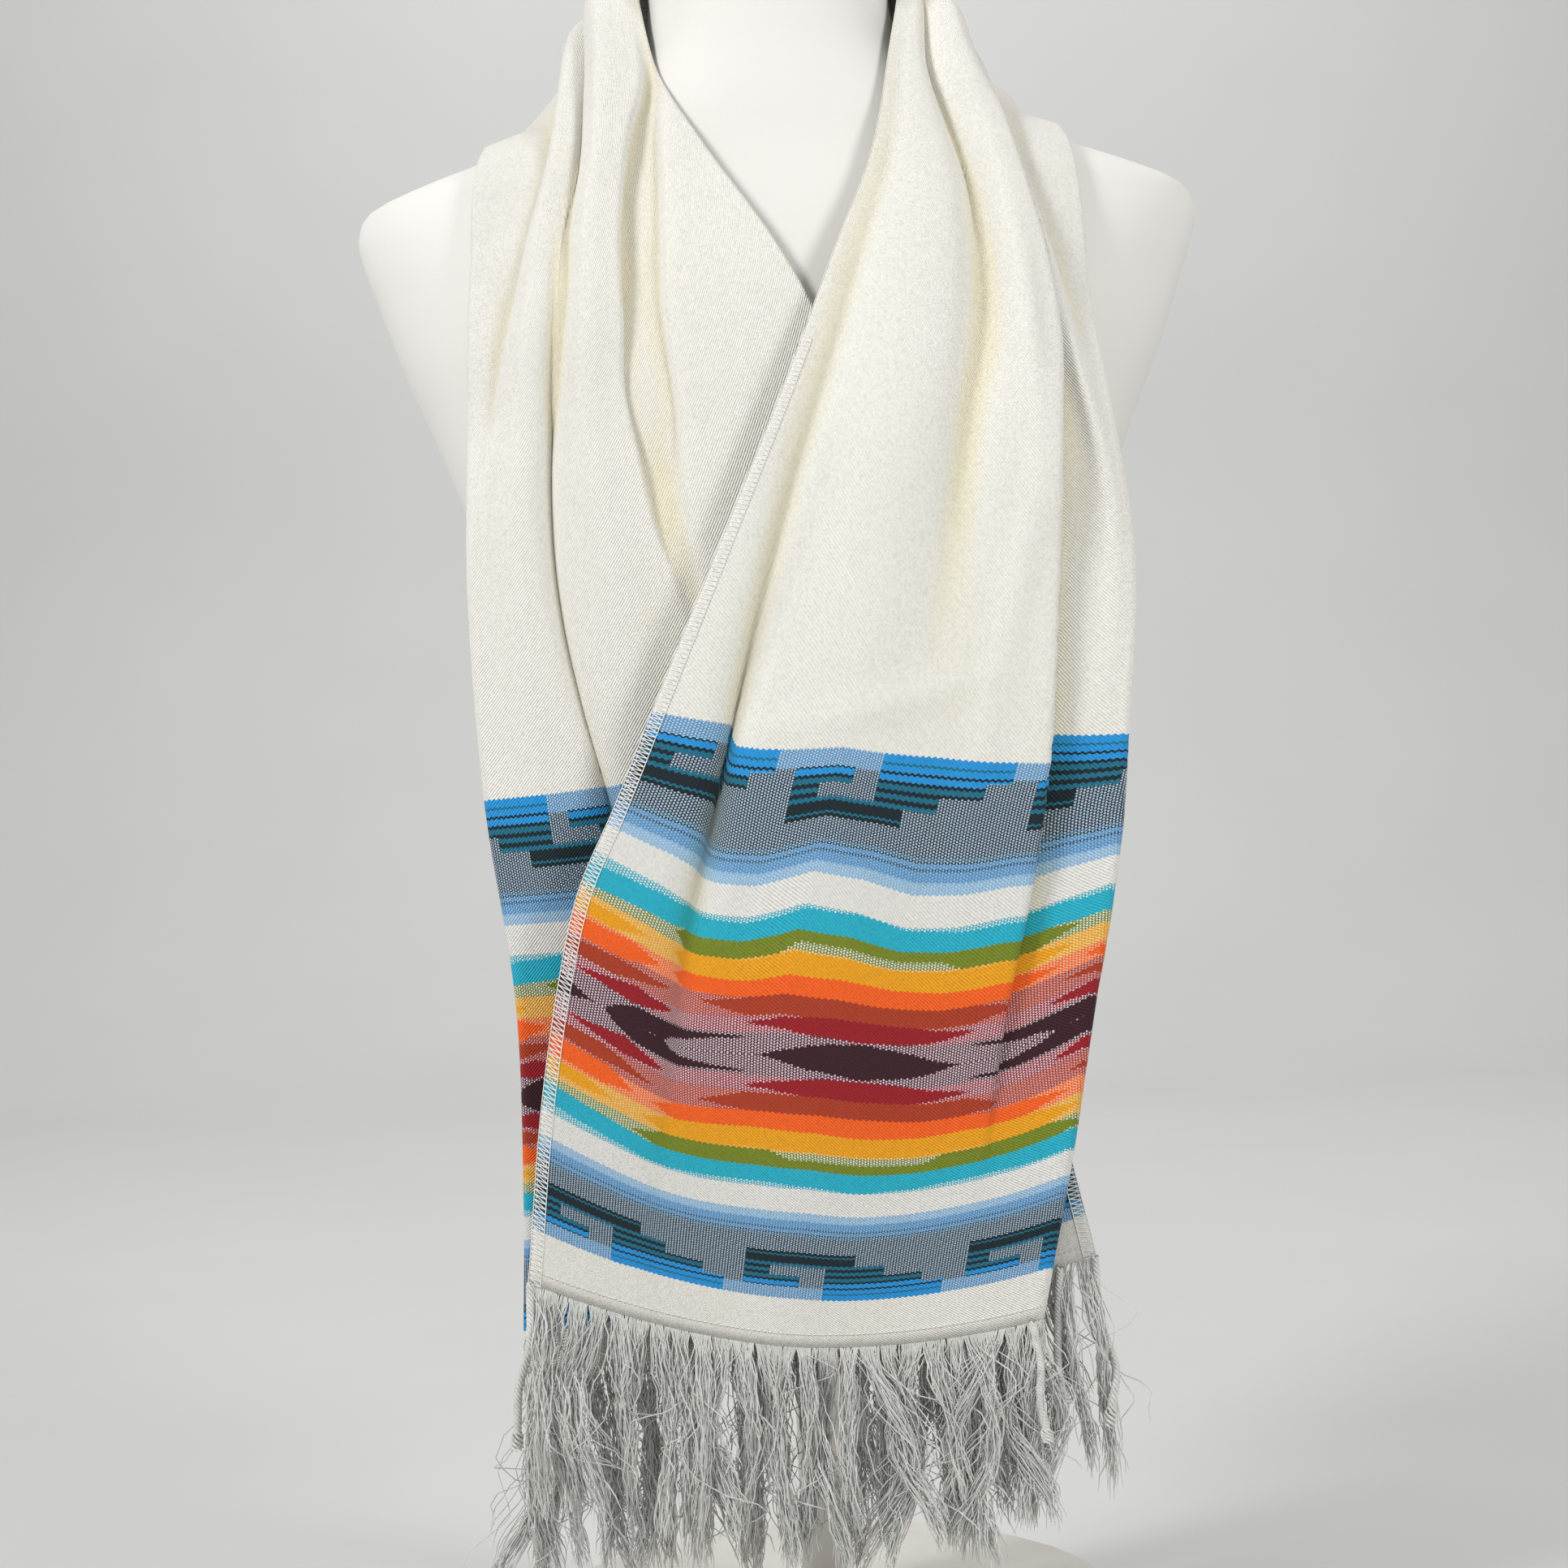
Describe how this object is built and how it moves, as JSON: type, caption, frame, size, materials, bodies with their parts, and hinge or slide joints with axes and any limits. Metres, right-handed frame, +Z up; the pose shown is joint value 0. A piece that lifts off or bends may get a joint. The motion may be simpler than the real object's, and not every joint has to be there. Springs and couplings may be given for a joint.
{
  "type": "scarf on a dress form",
  "caption": "Long woven scarf with striped, stepped-hook ends and yarn fringe, hung round the neck of a limbless dress form on a low round stand",
  "frame": {"origin": "centre of the underside of the stand's round base", "axes": "+Z up, -Y the front that the picture shows, +X to the viewer's right"},
  "size_m": [0.4, 0.28, 0.8413],
  "materials": {
    "cloth": "cream twill with woven stripes and stepped hooks in blues, greens, yellows, oranges and reds",
    "yarn": "loose off-white yarn",
    "form_cover": "matte off-white shell",
    "neck_cap": "matte off-white",
    "stand_metal": "satin off-white paint"
  },
  "bodies": {
    "root": {"scarf_right_fall": "cloth", "scarf_neck_wrap": "cloth", "scarf_left_fall": "cloth", "fringe_right_end": "yarn", "fringe_left_end": "yarn", "dress_form": "form_cover", "neck_cap": "neck_cap", "stand_pole": "stand_metal", "stand_base": "stand_metal"}
  },
  "joints": []
}
